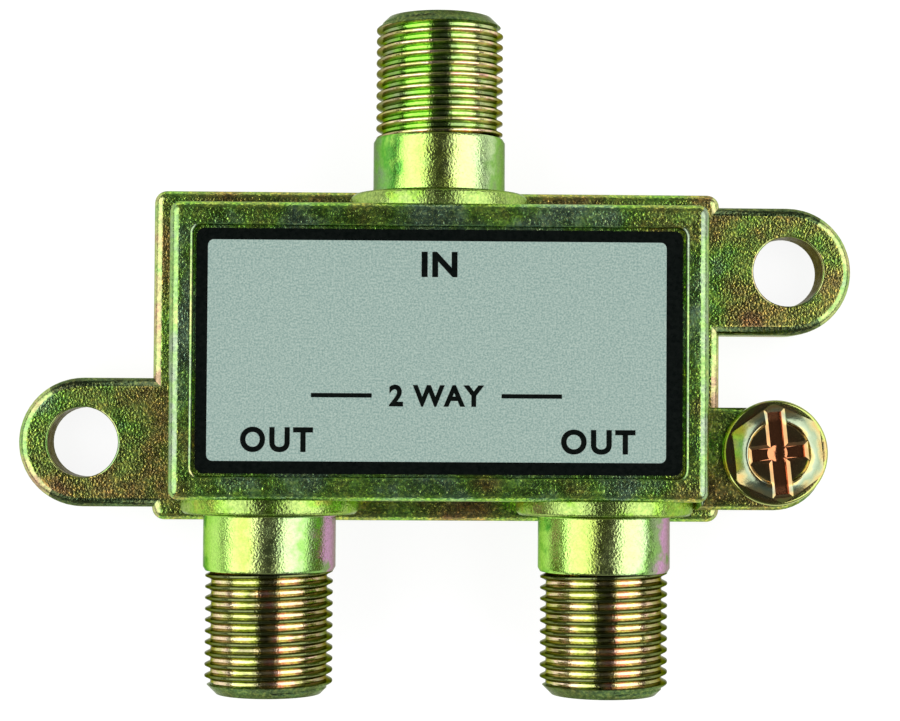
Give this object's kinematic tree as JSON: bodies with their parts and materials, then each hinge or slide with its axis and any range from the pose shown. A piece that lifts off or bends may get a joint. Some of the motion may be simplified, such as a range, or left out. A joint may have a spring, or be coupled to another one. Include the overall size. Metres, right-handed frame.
{
  "type": "coaxial splitter",
  "caption": "Small die-cast coaxial signal splitter with screw-thread ports, fixing ears and a ground screw that backs out of its lug.",
  "frame": {"origin": "centre of the flat back face, where it lies on a wall or a table", "axes": "+Z out of the labelled front, +Y towards the input port, +X to the right as the label is read"},
  "size_m": [0.0618, 0.0488, 0.014],
  "materials": {
    "zinc_casting": "yellow chromate over a sand-fine cast skin",
    "tinned_sheet": "dull tinned sheet",
    "printed_foil": "satin silver grey with a black border",
    "plated_screw": "bright yellow chromate",
    "board_laminate": "tan laminate",
    "solder": "bright solder",
    "ferrite": "dull fired ferrite",
    "enamelled_wire": "enamelled copper",
    "resistor_body": "black chip with tinned ends",
    "capacitor_coat": "dipped orange coat",
    "white_plastic": "moulded white polyethylene",
    "contact_bronze": "plated spring bronze"
  },
  "bodies": {
    "casing": {"housing": "zinc_casting", "back_cover": "tinned_sheet", "front_label": "printed_foil", "circuit_board": "board_laminate", "contact_solder": "solder", "ground_solder": "solder", "matching_core": "ferrite", "matching_winding": "enamelled_wire", "splitting_core": "ferrite", "splitting_winding": "enamelled_wire", "isolation_resistor": "resistor_body", "input_capacitor": "capacitor_coat", "balance_capacitor": "capacitor_coat", "in_front_insulator": "white_plastic", "in_rear_insulator": "white_plastic", "in_contact": "contact_bronze", "out_left_front_insulator": "white_plastic", "out_left_rear_insulator": "white_plastic", "out_left_contact": "contact_bronze", "out_right_front_insulator": "white_plastic", "out_right_rear_insulator": "white_plastic", "out_right_contact": "contact_bronze"},
    "screw": {"ground_screw": "plated_screw"}
  },
  "joints": [
    {"name": "ground_screw_slide", "type": "slide", "parent": "casing", "child": "screw", "axis": [0, 0, 1], "range_m": [0, 0.0044]}
  ]
}
